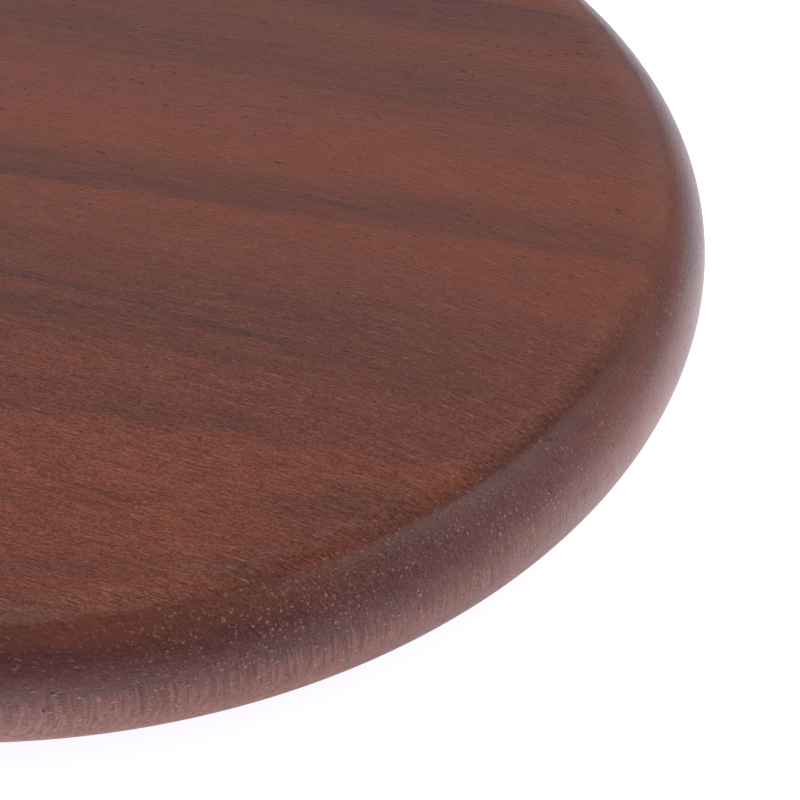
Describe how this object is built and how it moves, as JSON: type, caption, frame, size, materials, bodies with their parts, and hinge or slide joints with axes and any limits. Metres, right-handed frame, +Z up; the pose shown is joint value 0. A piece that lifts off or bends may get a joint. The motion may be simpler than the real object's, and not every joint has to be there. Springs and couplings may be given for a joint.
{
  "type": "drink coaster",
  "caption": "Round solid-wood drink coaster: a flat disc whose edge rolls softly from the face that a glass stands on to the face that rests on the table.",
  "frame": {"origin": "centre of the underside, on the disc's axis, at the level of the table that it rests on", "axes": "+Z up along the disc's axis, from the underside to the face that the glass stands on; +X and +Y level, with the grain running about along +X"},
  "size_m": [0.095, 0.095, 0.01],
  "materials": {
    "walnut": "sanded and oiled walnut, satin, with the grain across the disc"
  },
  "bodies": {
    "root": {"coaster_disc": "walnut"}
  },
  "joints": []
}
